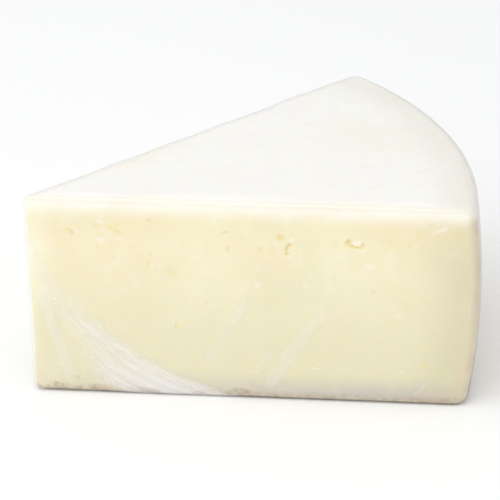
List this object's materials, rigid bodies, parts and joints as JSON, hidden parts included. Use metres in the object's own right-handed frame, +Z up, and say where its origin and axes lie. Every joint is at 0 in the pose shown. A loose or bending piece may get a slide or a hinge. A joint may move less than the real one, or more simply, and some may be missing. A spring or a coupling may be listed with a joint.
{
  "type": "wrapped cheese wedge",
  "caption": "Wedge cut from a round of pressed pale cheese, with a curved rind heel, flat top and two flat cut faces, wrapped tight in clear stretch film.",
  "frame": {"origin": "middle of the footprint's box, on the surface that the wedge lies on", "axes": "+Z up, +X towards the curved rind heel, -X towards the tip, and one cut face looks along -Y"},
  "size_m": [0.1496, 0.112, 0.0717],
  "materials": {
    "cheese": "satin",
    "stretch_film": "gloss"
  },
  "bodies": {
    "root": {"cheese_wedge": "cheese", "cling_film": "stretch_film"}
  },
  "joints": []
}
